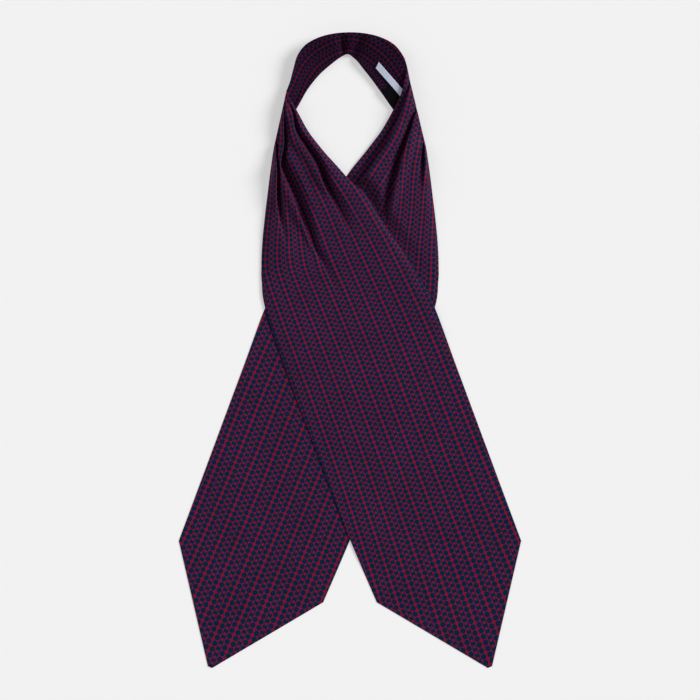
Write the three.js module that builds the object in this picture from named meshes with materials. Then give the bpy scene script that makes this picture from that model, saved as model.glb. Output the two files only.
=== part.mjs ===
// Silk cravat laid flat with its front up: a neckband whose ends turn over at the sides of
// the neck into two strips, each with a pleated stretch and a pointed blade, that cross below it.
// Millimetres, +Z up, +Y towards the neck, origin on the table under the middle of the outline.
import * as THREE from 'three';

// Cloth
const bladeWall = 1.0; // two layers of silk
const bandWall = 2.0; // silk wrapped round an interlining
const labelWall = 1.0;
const seam = 0.3; // clearance at seams and between pieces that lie on each other
const pleatTurn = 0.68; // radius of the cloth's middle line round a pleat's edge
const landing = 2.6; // run of a panel for each millimetre that it comes down from its pleat

// Height of the front above the table where it leaves the side folds, at its two edges
const foldStart = { inner: 7.9, outer: 2.6 };
const foldTop = { inner: 10.4, outer: 2.6 };
const foldOutwards = { x: 0.972, y: 0.235 }; // unit vector square to the fold, on the strip's own side
const foldEasing = 0.5; // share of the width where the standing fold starts to flatten out
const foldSink = 0.6; // share of a pleat's height that goes inwards at the fold

// Sections of the two strips in their own side's sense: x is measured from the centre line towards
// the side of the neck that the strip comes from. The inner edge bounds the neck opening, and rise
// is the share of the fold's height that is left.
const overNeck = [
  { innerX: 56.6, innerY: 232.0, outerX: 68.6, outerY: 181.0, rise: 1.0 },
  { innerX: 53.4, innerY: 224.5, outerX: 69.1, outerY: 178.5, rise: 1.0 },
  { innerX: 48.6, innerY: 216.9, outerX: 69.7, outerY: 175.0, rise: 0.9 },
  { innerX: 38.3, innerY: 198.0, outerX: 71.2, outerY: 164.0, rise: 0.6 },
  { innerX: 30.4, innerY: 187.2, outerX: 72.3, outerY: 156.0, rise: 0.4 },
  { innerX: 21.6, innerY: 176.4, outerX: 73.4, outerY: 147.0, rise: 0.2 },
  { innerX: 11.8, innerY: 165.6, outerX: 74.6, outerY: 137.0, rise: 0.07 },
  { innerX: 0.5, innerY: 153.0, outerX: 76.0, outerY: 126.0, rise: 0.0 },
];
const underNeck = [
  { innerX: 51.2, innerY: 251.5, outerX: 68.6, outerY: 181.0, rise: 1.0 },
  { innerX: 49.0, innerY: 242.0, outerX: 69.1, outerY: 178.5, rise: 1.0 },
  { innerX: 45.2, innerY: 228.5, outerX: 69.4, outerY: 176.8, rise: 0.95 },
  { innerX: 38.9, innerY: 216.0, outerX: 69.9, outerY: 173.0, rise: 0.8 },
  { innerX: 28.7, innerY: 198.0, outerX: 71.2, outerY: 164.0, rise: 0.5 },
  { innerX: 20.8, innerY: 187.2, outerX: 72.3, outerY: 156.0, rise: 0.3 },
  { innerX: 12.4, innerY: 176.4, outerX: 73.4, outerY: 147.0, rise: 0.14 },
  { innerX: 3.6, innerY: 165.6, outerX: 74.6, outerY: 137.0, rise: 0.04 },
  { innerX: -3.5, innerY: 156.0, outerX: 76.0, outerY: 126.0, rise: 0.0 },
];
// Below the pleats both strips have one shape: they widen, cross the centre line and run out straight.
const bladeSections = [
  { innerX: -13.3, innerY: 140.4, outerX: 77.3, outerY: 114.0, rise: 0 },
  { innerX: -24.8, innerY: 122.0, outerX: 78.6, outerY: 101.0, rise: 0 },
  { innerX: -36.3, innerY: 104.8, outerX: 79.5, outerY: 87.0, rise: 0 },
  { innerX: -47.7, innerY: 88.7, outerX: 79.8, outerY: 75.0, rise: 0 },
  { innerX: -59.2, innerY: 70.4, outerX: 79.5, outerY: 62.0, rise: 0 },
  { innerX: -75.3, innerY: 40.5, outerX: 75.6, outerY: 35.1, rise: 0 },
  { innerX: -95.0, innerY: -12.6, outerX: 52.8, outerY: -31.2, rise: 0 },
  { innerX: -114.7, innerY: -65.6, outerX: 28.1, outerY: -96.8, rise: 0 },
  { innerX: -134.4, innerY: -118.7, outerX: 3.4, outerY: -162.6, rise: 0 },
  { innerX: -154.1, innerY: -171.7, outerX: -24.1, outerY: -227.1, rise: 0 },
];
const bladeTip = { x: -127.1, y: -288.03, bluntness: 0.03 };

// Pleats of each strip, from its inner edge: depth folded under at the neck, how far round the
// cloth turns in degrees, the section rows where it starts to open and where it has run out, and
// its place at each row as a share of the width.
const overPleats = [
  {
    depth: 4.0, turned: 180, opens: 5, ends: 8.5,
    places: [0.09, 0.1, 0.14, 0.22, 0.22, 0.21, 0.23, 0.27, 0.29, 0.29],
  },
  {
    depth: 5.0, turned: 180, opens: 6, ends: 11.8,
    places: [0.36, 0.43, 0.51, 0.67, 0.715, 0.725, 0.71, 0.695, 0.685, 0.67, 0.64, 0.6, 0.56, 0.53],
  },
  {
    depth: 1.2, turned: 130, opens: 5, ends: 8.5,
    places: [0.84, 0.83, 0.82, 0.83, 0.84, 0.84, 0.83, 0.815, 0.8, 0.79, 0.78],
  },
];
const underPleats = [
  {
    depth: 5.0, turned: 180, opens: 6, ends: 9.5,
    places: [0.2, 0.165, 0.15, 0.15, 0.17, 0.17, 0.165, 0.165, 0.165, 0.17, 0.2, 0.23, 0.25],
  },
  {
    depth: 5.0, turned: 180, opens: 6.5, ends: 10.5,
    places: [0.53, 0.49, 0.47, 0.465, 0.46, 0.475, 0.49, 0.51, 0.53, 0.54, 0.54, 0.53, 0.52],
  },
  {
    depth: 1.2, turned: 130, opens: 5, ends: 7.5,
    places: [0.84, 0.85, 0.87, 0.88, 0.88, 0.86, 0.84, 0.82, 0.81, 0.8],
  },
];
const lastDepth = 1.0; // fold left under a pleat where it starts to open
const spread = { most: 1.5, ofWidth: 1 / 60 }; // spacing of a pleat's lines once it lies flat
const tuck = 4; // run over which a panel dives under the next one at the side fold
const leastLanding = 0.5; // shortest run in which a panel comes down

// Lines across a panel, as shares of the run that they may lie in: near its own pleat, where it has
// landed, and far, under the next pleat's edge. Open is the share once the pleats lie flat.
const panelLines = {
  first: { open: 0.5 },
  near: { open: 0.25, from: 0.1, to: 0.5 },
  landed: { from: 0.35, to: 0.65 },
  far: { open: 0.75, from: 0.4, to: 0.95 },
};

// Row numbers where a strip is cut into sections: close round the side fold, then evenly, and
// closer again past the last row, towards the tip
const sectionsAt = { fold: [0, 0.06, 0.25, 0.6], step: 0.5, tip: [0.33, 0.66, 0.88, 1] };
const stretchGap = 0.028; // rows between a strip's two stretches, the seam's clearance at the outer edge

// Neckband sections from the left fold to the right one: the outer edge stands up by lift, and
// ridge raises the soft crease at the centre back.
const bandSections = [
  { outerX: -57.0, outerY: 233.0, innerX: -68.6, innerY: 181.6, lift: 5.5, ridge: 0 },
  { outerX: -53.6, outerY: 241.5, innerX: -58.0, innerY: 199.5, lift: 6.5, ridge: 0 },
  { outerX: -51.0, outerY: 252.0, innerX: -46.5, innerY: 219.6, lift: 8.0, ridge: 0 },
  { outerX: -47.4, outerY: 264.0, innerX: -38.3, innerY: 234.0, lift: 9.0, ridge: 0 },
  { outerX: -40.3, outerY: 273.6, innerX: -28.0, innerY: 247.0, lift: 10.0, ridge: 0 },
  { outerX: -29.5, outerY: 280.8, innerX: -18.4, innerY: 255.6, lift: 11.0, ridge: 0 },
  { outerX: -16.0, outerY: 284.8, innerX: -9.5, innerY: 263.0, lift: 11.5, ridge: 0 },
  { outerX: 0.0, outerY: 286.2, innerX: -2.3, innerY: 266.9, lift: 12.0, ridge: 2.0 },
  { outerX: 16.0, outerY: 284.8, innerX: 4.5, innerY: 262.2, lift: 11.5, ridge: 0 },
  { outerX: 29.5, outerY: 280.8, innerX: 12.0, innerY: 253.0, lift: 11.0, ridge: 0 },
  { outerX: 40.3, outerY: 273.6, innerX: 19.0, innerY: 243.8, lift: 10.0, ridge: 0 },
  { outerX: 47.4, outerY: 264.0, innerX: 28.0, innerY: 231.5, lift: 9.0, ridge: 0 },
  { outerX: 49.7, outerY: 256.0, innerX: 44.0, innerY: 209.5, lift: 7.0, ridge: 0 },
  { outerX: 54.2, outerY: 240.0, innerX: 68.6, innerY: 181.6, lift: 5.0, ridge: 0 },
];
const bandFlat = 0.2; // share of the neckband's width that rests flat, at its inner edge
const bandCurl = 1.4; // how sharply the outer edge turns up
const bandGrid = { step: 0.5, across: 7 };

// Labels on the inside of the neckband: middle of the near end, heading in degrees, and size
const labels = [
  { name: 'maker_label', x: 24.0, y: 256.3, heading: -48.6, width: 5.6, length: 37, colour: 0xc9cfdd },
  { name: 'care_label', x: 32.0, y: 235.4, heading: -54.6, width: 9.2, length: 19, colour: 0x14141a },
];
const labelGrid = { along: 12, across: 3 };
const labelRows = { least: 8, guess: 11, share: 0.6 }; // where the labels are looked for on the neckband

// The over blade rides on the under one, with room for its pleats near the neck opening.
const ride = { firstRow: 6, margin: 8, slope: 16, pleatRoom: 3.2, pleatX: 16, pleatY: 140, pleatReach: 30 };

const silk = { colour: 0x3a1d36, roughness: 0.5 };
const silkInside = { colour: 0x281423, roughness: 0.6 };
const labelRoughness = 0.8;

const mix = (a, b, t) => a + (b - a) * t;
const clamp = (v, low, high) => Math.min(Math.max(v, low), high);
const within = (v, a, b, { from, to }) => clamp(v, mix(a, b, from), mix(a, b, to));
const smooth = (v) => {
  const t = clamp(v, 0, 1);
  return t * t * (3 - 2 * t);
};

// Value at a row number that need not be whole, on a smooth curve through the rows.
function along(values, at) {
  const last = values.length - 1;
  const row = clamp(at, 0, last);
  const i = Math.min(Math.floor(row), last - 1);
  const t = row - i;
  const [a, b, c, d] = [i - 1, i, i + 1, i + 2].map((k) => values[clamp(k, 0, last)]);
  const bend = (2 * a - 5 * b + 4 * c - d) * t * t + (3 * b - a - 3 * c + d) * t * t * t;
  return b + 0.5 * ((c - a) * t + bend);
}

const column = (rows, name, at) => along(rows.map((row) => row[name]), at);

// Plan of a strip at a row number and a share of its width; past the last row it narrows to the tip.
function stripPlan(strip, at, share) {
  const narrowing = Math.max(at - strip.rows.length + 1, 0) * (1 - bladeTip.bluntness);
  const x = mix(column(strip.rows, 'innerX', at), column(strip.rows, 'outerX', at), share);
  const y = mix(column(strip.rows, 'innerY', at), column(strip.rows, 'outerY', at), share);
  return { x: strip.side * mix(x, bladeTip.x, narrowing), y: mix(y, bladeTip.y, narrowing) };
}

// A strip's first rows, up to split, are its pleated stretch, and the rest are its blade.
const stripOf = (side, neck, pleats, rides) => (
  { side, rows: [...neck, ...bladeSections], split: neck.length - 1, pleats, rides }
);
const under = stripOf(1, underNeck, underPleats, () => 0);
const over = stripOf(-1, overNeck, overPleats, rideHeight);

// Outline of the under blade in plan, for the height that the over blade rides at.
const underOutline = outlineOf(under);
function outlineOf(strip) {
  const inner = [];
  const outer = [];
  for (let at = ride.firstRow; at <= strip.rows.length; at += sectionsAt.step) {
    inner.push(stripPlan(strip, at, 0));
    outer.push(stripPlan(strip, at, 1));
  }
  return [...inner, ...outer.reverse()];
}

function distanceOutside(outline, x, y) {
  let inside = false;
  let nearest = Infinity;
  outline.forEach((a, i) => {
    const b = outline[(i + 1) % outline.length];
    const run = { x: b.x - a.x, y: b.y - a.y };
    const foot = clamp(((x - a.x) * run.x + (y - a.y) * run.y) / (run.x ** 2 + run.y ** 2), 0, 1);
    nearest = Math.min(nearest, Math.hypot(x - a.x - foot * run.x, y - a.y - foot * run.y));
    const spans = (a.y > y) !== (b.y > y);
    if (spans && x < a.x + ((y - a.y) / run.y) * run.x) inside = !inside;
  });
  return inside ? 0 : nearest;
}

function rideHeight(x, y) {
  const off = distanceOutside(underOutline, x, y);
  const near = Math.hypot(x - ride.pleatX, y - ride.pleatY) / ride.pleatReach;
  const full = bladeWall + seam + ride.pleatRoom * Math.exp(-near * near);
  return full * (1 - smooth((off - ride.margin) / ride.slope));
}

// Middle of a strip's lowest layer: it stands up at the side fold, turns over and comes down.
function stripPoint(strip, at, share) {
  const { x, y } = stripPlan(strip, at, share);
  const top = mix(foldTop.inner, foldTop.outer, share);
  const start = mix(foldStart.inner, foldStart.outer, share);
  const turning = Math.sqrt(1 - (1 - clamp(at, 0, 1)) ** 2);
  const height = at < 1 ? mix(start, top, turning) : top * column(strip.rows, 'rise', at);
  return new THREE.Vector3(x, y, bladeWall / 2 + Math.max(height, 0) + strip.rides(x, y));
}

// How upright the cloth stands at the side fold: 1 at the fold, 0 once it has turned over.
function standing(at, share) {
  return Math.max(1 - at, 0) * (1 - smooth((share - foldEasing) / (1 - foldEasing)));
}

// Point of a strip at a height over its lowest layer: layers stack outwards where the strip stands
// at the side fold, with the top one nearly in line with it, and upwards once it has turned over.
function layerPoint(strip, at, share, height, top) {
  const upright = standing(at, share);
  const outwards = new THREE.Vector3(strip.side * foldOutwards.x, foldOutwards.y, 0);
  return stripPoint(strip, at, share)
    .addScaledVector(outwards, upright * (height - foldSink * top))
    .add(new THREE.Vector3(0, 0, height * Math.sqrt(1 - upright * upright)));
}

// Six lines of a pleat: round its hidden lower turn, back under the panel, and round its edge.
function pleatLines(place, depth, radius, turned, shut) {
  const lower = place + radius * (shut - 2 * Math.sin(turned)) - depth * Math.cos(turned);
  const upper = place + radius * shut;
  const angles = [0, turned / 2, turned];
  const below = angles.map((angle) => ({
    q: lower + radius * Math.sin(angle),
    h: radius * (1 - Math.cos(angle)),
    angle,
  }));
  const middle = below[2].h + depth * Math.sin(turned) - radius * Math.cos(turned);
  const above = angles.reverse().map((angle) => ({
    q: upper - radius * Math.sin(angle),
    h: middle + radius * Math.cos(angle),
    angle,
  }));
  return { lines: [...below, ...above], hiddenEnd: lower + radius, edge: upper };
}

// Profile across a strip: points with their place across, height over the lowest layer, direction
// of the cloth, and the height of the top layer there. A pleat doubles the cloth back under the
// panel outside it, which then comes down again.
function pleatedProfile(strip, at, width) {
  const points = [];
  const panels = [{ start: 0, heightAt: () => 0 }];
  const slopeRun = 0.8;
  const lay = (heightAt, stops) => stops.forEach((q) => {
    const slope = (heightAt(q + slopeRun / 2) - heightAt(q - slopeRun / 2)) / slopeRun;
    points.push({ q, h: heightAt(q), angle: Math.atan(slope) });
  });
  let from = 0;
  let stopsAcross = (a, b, edge, shut) => [a, mix(mix(a, b, panelLines.first.open), edge, shut)];
  for (const pleat of strip.pleats) {
    const below = panels[panels.length - 1].heightAt;
    const place = along(pleat.places, at) * width;
    const shut = smooth((pleat.ends - at) / (pleat.ends - pleat.opens));
    const turned = THREE.MathUtils.degToRad(pleat.turned) * shut;
    const open = 1 - turned / Math.PI;
    const apart = Math.min(spread.most, width * spread.ofWidth) * open * open;
    const depth = mix(lastDepth, pleat.depth, smooth(1 - at / pleat.opens)) * shut;
    const { lines, hiddenEnd, edge } = pleatLines(place, depth, pleatTurn * (1 + open), turned, shut);
    const middle = (lines.length - 1) / 2;
    lay(below, stopsAcross(from, lines[0].q - middle * apart, place, shut));
    lines.forEach((line, k) => {
      const q = line.q + (k - middle) * apart;
      points.push({ q, h: line.h + below(q), angle: line.angle * (1 - open * open) });
    });
    const rise = lines[lines.length - 1].h;
    const flatEnd = mix(edge, Math.max(hiddenEnd, edge) + bladeWall, shut);
    const top = rise + below(flatEnd);
    const farthest = Math.max(width - leastLanding, flatEnd + 2 * leastLanding);
    const down = clamp(flatEnd + landing * top, flatEnd + leastLanding, farthest);
    const landed = (q) => smooth((q - flatEnd) / (down - flatEnd));
    const heightAt = (q) => (q < flatEnd ? rise + below(q) : top * (1 - landed(q)));
    panels.push({ start: place, heightAt });
    from = points[points.length - 1].q;
    stopsAcross = (a, b, nextEdge, nextShut) => {
      const { near, landed: middling, far } = panelLines;
      const first = mix(mix(a, b, near.open), within(flatEnd, a, b, near), shut);
      const last = mix(mix(a, b, far.open), within(nextEdge, first, b, far), nextShut);
      return [first, within(down, first, last, middling), last];
    };
  }
  const outermost = panels[panels.length - 1].heightAt;
  lay(outermost, stopsAcross(from, width, width, 0));
  points.push({ q: width, h: outermost(width), angle: 0 });
  const topAt = (q) => panels.reduce((height, { start, heightAt }) =>
    mix(height, heightAt(Math.max(q, start)), smooth((q - start + tuck) / tuck)), 0);
  return points.map((point) => ({ ...point, top: topAt(point.q) }));
}

// Closed wall between two grids of points, with its rims and ends.
function wall(faces, backs) {
  const rows = faces.length;
  const columns = faces[0].length;
  const points = [...faces.flat(), ...backs.flat()];
  const face = (i, j) => i * columns + j;
  const back = (i, j) => (rows + i) * columns + j;
  const index = [];
  const quad = (a, b, c, d) => {
    const acrossAC = points[a].distanceTo(points[c]) <= points[b].distanceTo(points[d]);
    index.push(...(acrossAC ? [a, b, c, a, c, d] : [a, b, d, b, c, d]));
  };
  for (let i = 0; i + 1 < rows; i += 1) {
    for (let j = 0; j + 1 < columns; j += 1) {
      quad(face(i, j), face(i + 1, j), face(i + 1, j + 1), face(i, j + 1));
      quad(back(i, j), back(i, j + 1), back(i + 1, j + 1), back(i + 1, j));
    }
    quad(face(i, 0), back(i, 0), back(i + 1, 0), face(i + 1, 0));
    quad(face(i, columns - 1), face(i + 1, columns - 1), back(i + 1, columns - 1), back(i, columns - 1));
  }
  for (let j = 0; j + 1 < columns; j += 1) {
    quad(face(0, j), face(0, j + 1), back(0, j + 1), back(0, j));
    quad(face(rows - 1, j), back(rows - 1, j), back(rows - 1, j + 1), face(rows - 1, j + 1));
  }
  const geometry = new THREE.BufferGeometry();
  geometry.setFromPoints(points);
  geometry.setIndex(index);
  return geometry;
}

function pleatStations({ split }) {
  const stations = [...sectionsAt.fold];
  for (let at = 1; at < split; at += sectionsAt.step) stations.push(at);
  return [...stations, split - stretchGap / 2];
}

function bladeStations({ split, rows }) {
  const last = rows.length - 1;
  const stations = [split + stretchGap / 2];
  for (let at = split + sectionsAt.step; at <= last; at += sectionsAt.step) stations.push(at);
  return [...stations, ...sectionsAt.tip.map((past) => last + past)];
}

function stripGeometry(strip, stations) {
  const sides = { face: [], back: [] };
  for (const at of stations) {
    const inner = stripPlan(strip, at, 0);
    const outer = stripPlan(strip, at, 1);
    const width = Math.hypot(outer.x - inner.x, outer.y - inner.y);
    const profile = pleatedProfile(strip, at, width);
    const place = (half) => profile.map(({ q, h, angle, top }) => {
      const share = clamp((q - half * Math.sin(angle)) / width, 0, 1);
      return layerPoint(strip, at, share, h + half * Math.cos(angle), top);
    });
    sides.face.push(place(bladeWall / 2));
    sides.back.push(place(-bladeWall / 2));
  }
  return strip.side < 0 ? wall(sides.back, sides.face) : wall(sides.face, sides.back);
}

// Middle of the neckband's wall: flat on the table at its inner edge, turned up at its outer one.
function bandPoint(at, share) {
  const [x, y] = ['X', 'Y'].map((axis) =>
    mix(column(bandSections, `outer${axis}`, at), column(bandSections, `inner${axis}`, at), share));
  const upturn = Math.max(1 - share / (1 - bandFlat), 0) ** bandCurl;
  const ridge = Math.max(column(bandSections, 'ridge', at), 0) * (1 - share * share);
  return new THREE.Vector3(x, y, bandWall / 2 + column(bandSections, 'lift', at) * upturn + ridge);
}

const bandEnd = bandSections.length - 1;
const upwards = new THREE.Vector3(0, 0, 1);

function bandGeometry() {
  const shares = Array.from({ length: bandGrid.across + 1 }, (_, j) => j / bandGrid.across);
  const faces = [];
  const backs = [];
  for (let at = 0; at <= bandEnd; at += bandGrid.step) {
    const offset = (by) => shares.map((share) => bandPoint(at, share).addScaledVector(upwards, by));
    faces.push(offset(bandWall / 2));
    backs.push(offset(-bandWall / 2));
  }
  return wall(backs, faces);
}

// Row number and share of the neckband under a point in plan, by Newton's steps.
function underPoint(x, y) {
  const rounds = 12;
  const step = 0.01;
  let at = labelRows.guess;
  let share = labelRows.share;
  for (let i = 0; i < rounds; i += 1) {
    const here = bandPoint(at, share);
    const a = bandPoint(at + step, share).sub(here).divideScalar(step);
    const b = bandPoint(at, share + step).sub(here).divideScalar(step);
    const det = a.x * b.y - a.y * b.x;
    at = clamp(at + ((x - here.x) * b.y - (y - here.y) * b.x) / det, labelRows.least, bandEnd);
    share = clamp(share + (a.x * (y - here.y) - a.y * (x - here.x)) / det, 0, 1);
  }
  return [at, share];
}

// Label laid on the neckband: a grid of its points, moved out from the band's own.
function labelGeometry({ x, y, heading, width, length }) {
  const turn = THREE.MathUtils.degToRad(heading);
  const lengthwise = new THREE.Vector2(Math.cos(turn), Math.sin(turn));
  const crosswise = new THREE.Vector2(-lengthwise.y, lengthwise.x);
  const grid = (height) => Array.from({ length: labelGrid.along + 1 }, (_, i) =>
    Array.from({ length: labelGrid.across + 1 }, (__, j) => {
      const spot = new THREE.Vector2(x, y)
        .addScaledVector(lengthwise, (i / labelGrid.along) * length)
        .addScaledVector(crosswise, (j / labelGrid.across - 0.5) * width);
      return bandPoint(...underPoint(spot.x, spot.y)).addScaledVector(upwards, height);
    }));
  const bottom = bandWall / 2 + seam;
  return wall(grid(bottom + labelWall), grid(bottom));
}

const cravat = new THREE.Group();

function add(name, geometry, colour, roughness) {
  const material = new THREE.MeshStandardMaterial({ color: colour, roughness, metalness: 0 });
  const mesh = new THREE.Mesh(geometry, material);
  mesh.name = name;
  cravat.add(mesh);
}

add('neckband', bandGeometry(), silkInside.colour, silkInside.roughness);
for (const [name, strip] of Object.entries({ over, under })) {
  add(`${name}_pleats`, stripGeometry(strip, pleatStations(strip)), silk.colour, silk.roughness);
  add(`${name}_blade`, stripGeometry(strip, bladeStations(strip)), silk.colour, silk.roughness);
}
for (const label of labels) add(label.name, labelGeometry(label), label.colour, labelRoughness);

export default cravat;
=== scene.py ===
# Silk cravat laid flat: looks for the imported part, built in millimetres and put into the mesh in metres.
import math

import bpy
import numpy as np
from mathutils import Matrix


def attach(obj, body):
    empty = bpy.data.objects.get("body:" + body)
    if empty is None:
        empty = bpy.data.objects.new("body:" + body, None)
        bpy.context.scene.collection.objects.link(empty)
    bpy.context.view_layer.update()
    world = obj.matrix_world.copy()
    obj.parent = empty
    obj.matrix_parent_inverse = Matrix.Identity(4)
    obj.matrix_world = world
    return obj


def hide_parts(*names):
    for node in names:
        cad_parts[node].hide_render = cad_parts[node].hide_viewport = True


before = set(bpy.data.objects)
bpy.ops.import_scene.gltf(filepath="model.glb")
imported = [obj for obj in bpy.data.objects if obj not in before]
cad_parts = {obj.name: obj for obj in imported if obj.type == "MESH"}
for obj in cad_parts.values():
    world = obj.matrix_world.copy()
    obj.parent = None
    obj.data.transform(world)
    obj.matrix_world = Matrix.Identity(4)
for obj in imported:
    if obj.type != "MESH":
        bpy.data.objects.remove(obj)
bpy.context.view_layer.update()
print("frame loaded:", len(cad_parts), "nodes")

toMetres = 0.001


def mix(a, b, t):
    return a + (b - a) * t


def smooth(v):
    t = np.clip(v, 0, 1)
    return t * t * (3 - 2 * t)


# value at a row number that need not be whole, on a smooth curve through the rows
def along(values, at):
    values = np.asarray(values, float)
    last = len(values) - 1
    row = np.clip(at, 0, last)
    i = np.minimum(np.floor(row).astype(int), last - 1)
    t = row - i
    if values.ndim > 1:
        t = np.asarray(t)[..., None]
    a, b, c, d = (values[np.clip(i + step, 0, last)] for step in (-1, 0, 1, 2))
    bend = (2 * a - 5 * b + 4 * c - d) * t * t + (3 * b - a - 3 * c + d) * t * t * t
    return b + 0.5 * ((c - a) * t + bend)


# closed wall from a grid of points: each row runs over the face and comes back under it
def wallMesh(name, points, printMap, bakeMap, flip):
    rows, loop = points.shape[:2]
    half = loop // 2
    corners = []  # row and place in the loop of each corner, before the loop wraps
    for i in range(rows - 1):
        for k in range(loop):
            quad = [(i, k), (i + 1, k), (i + 1, k + 1), (i, k + 1)]
            corners.append(quad[::-1] if flip else quad)
    for i, turned in ((0, flip), (rows - 1, not flip)):
        for k in range(half - 1):
            quad = [(i, k), (i, k + 1), (i, loop - 2 - k), (i, loop - 1 - k)]
            corners.append(quad[::-1] if turned else quad)
    corners = np.array(corners)
    faces = corners[..., 0] * loop + corners[..., 1] % loop
    mesh = bpy.data.meshes.new(name)
    mesh.from_pydata((points.reshape(-1, 3) * toMetres).tolist(), [], faces.tolist())
    for label, values in (("print", printMap), ("OFBake", bakeMap)):
        layer = mesh.uv_layers.new(name=label)
        layer.data.foreach_set("uv", values(corners).reshape(-1).astype(np.float32))
    mesh.shade_smooth()
    mesh.update()
    piece = bpy.data.objects.new(name, mesh)
    bpy.context.scene.collection.objects.link(piece)
    return piece


# print on both sides of a wall from the print on its face
def foldedMap(uMap, vMap):
    half = uMap.shape[1]

    def printMap(corners):
        row = corners[..., 0]
        k = corners[..., 1] % (2 * half)
        column = np.where(k < half, k, 2 * half - 1 - k)
        return np.stack([uMap[row, column], vMap[row, column]], axis=-1)

    return printMap


bakeRoom = {"edge": 0.006, "ends": 3}  # gap between islands, and gaps that are kept for the end caps


# layout for baking: the strip is cut into equal lengths side by side, its face wide and its back narrow
def bakeLayout(across, length, loop, cuts, faceShare):
    rows = len(length)
    half = loop // 2
    edge = bakeRoom["edge"]
    ends = bakeRoom["ends"] * edge
    room = 1 / cuts
    cutRows = [int(np.searchsorted(length, length[-1] * n / cuts)) for n in range(cuts)] + [rows - 1]

    def place(corners):
        row = corners[..., 0]
        k = corners[..., 1]
        isWall = (np.arange(len(corners)) < (rows - 1) * loop)[:, None]
        first = row.min(axis=1)
        part = np.searchsorted(cutRows, first, side="right") - 1
        part = np.clip(part, 0, cuts - 1)[:, None]
        low = length[np.array(cutRows)[part]]
        high = length[np.array(cutRows)[part + 1]]
        up = ends + (1 - 2 * ends) * (length[row] - low) / (high - low)
        onFace = np.minimum(k, half)
        side = across[row, np.minimum(onFace, half - 1)] * faceShare
        back = faceShare + (1 - faceShare) * (k - half + 1) / (half + 1)
        side = np.where(k < half, side, back)
        x = (part + edge / room + (1 - 2 * edge / room) * side) * room
        # each end cap is a band one gap high, half a gap from the border
        capUp = np.where(k < half, 0.0, 1.0) * edge + np.where(row > 0, 1 - 1.5 * edge, 0.5 * edge)
        capAcross = np.where(k < half, k, loop - 1 - k) / half
        capX = edge + (room - 2 * edge) * capAcross
        return np.stack([np.where(isWall, x, capX), np.where(isWall, up, capUp)], axis=-1)

    return place


# Strips: sizes shared by both blades, millimetres
silkWall = {
    "thickness": 0.6, "seam": 0.25,  # seam is the gap that keeps touching layers apart
    "rimPoints": 4, "mostRim": 0.2,  # points round an edge, and most of the width that it takes
    "rimSpacing": 0.02,  # keeps the lines of a rim apart in the bake layout
    "bakeCuts": 2, "bakeFace": 0.86,
}
sideFold = {
    "start": (7.9, 2.6),  # height over the table where the front leaves the fold, at its two edges
    "top": (10.4, 2.6),  # height of the fold itself
    "outwards": (0.972, 0.235),  # direction in which the layers stack there
    "easing": 0.5,  # share of the width past which they lie down
    "sink": 1.0,  # share of the stack that lies inside the fold's outline
}
pleatForm = {
    "turn": 0.68,  # radius of the cloth's middle line round a pleat's edge
    "landing": 2.6,  # run over which a panel comes down again, for each unit of its height
    "leastLanding": 0.5,
    "lastDepth": 1.0,  # depth that is left where a pleat opens
    "spread": 7.5,  # run of a pleat's lines once it lies flat
    "spreadOfWidth": 1 / 12,
    "tuck": 4.0,  # run over which the stack grows at a pleat's edge
    "slopeRun": 0.8,  # run over which a panel's slope is read
    "firstStep": 0.25,  # part of a line's spacing between a pleat's edge and the next panel
    "arcLines": 7,
    "straightLines": 3,
    "panelLines": (20, 46, 40, 18),
}
bladeRows = [  # inner x and y, outer x and y, share of the fold's height that is left
    (-13.3, 140.4, 77.3, 114.0, 0),
    (-24.8, 122.0, 78.6, 101.0, 0),
    (-36.3, 104.8, 79.5, 87.0, 0),
    (-47.7, 88.7, 79.8, 75.0, 0),
    (-59.2, 70.4, 79.5, 62.0, 0),
    (-75.3, 40.5, 75.6, 35.1, 0),
    (-95.0, -12.6, 52.8, -31.2, 0),
    (-114.7, -65.6, 28.1, -96.8, 0),
    (-134.4, -118.7, 3.4, -162.6, 0),
    (-154.1, -171.7, -24.1, -227.1, 0),
]
bladeTip = {"x": -127.1, "y": -288.03, "bluntness": 0.03}
stationSteps = {"fold": 9, "neck": 0.11, "bladeFrom": 4, "blade": 0.06, "tip": 26}

# Print: rows of dots for one repeat across where the dots are round, and how its map is settled
printScale = {
    "rowsForOne": 2.93,
    "rounds": 1500, "goal": 1e-12,
    "leastStep": 0.001,
    "mostGrowth": 2.5,  # most that a steep face stretches the plan's steps
    "holds": (0.02, 20), "leastAlong": 0.002,
    "hiddenHold": 0.0005,  # hold of the print across a shut pleat
    "divide": (0.03, 0.1),  # shares of the width over which it turns at the second pleat
}


# repeat across the columns and step along them, by height up the table
def printSizes(strip, y):
    heights, repeats, rowSteps = zip(*strip["printSizes"])
    return np.interp(y, heights, repeats), np.interp(y, heights, rowSteps)


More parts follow.
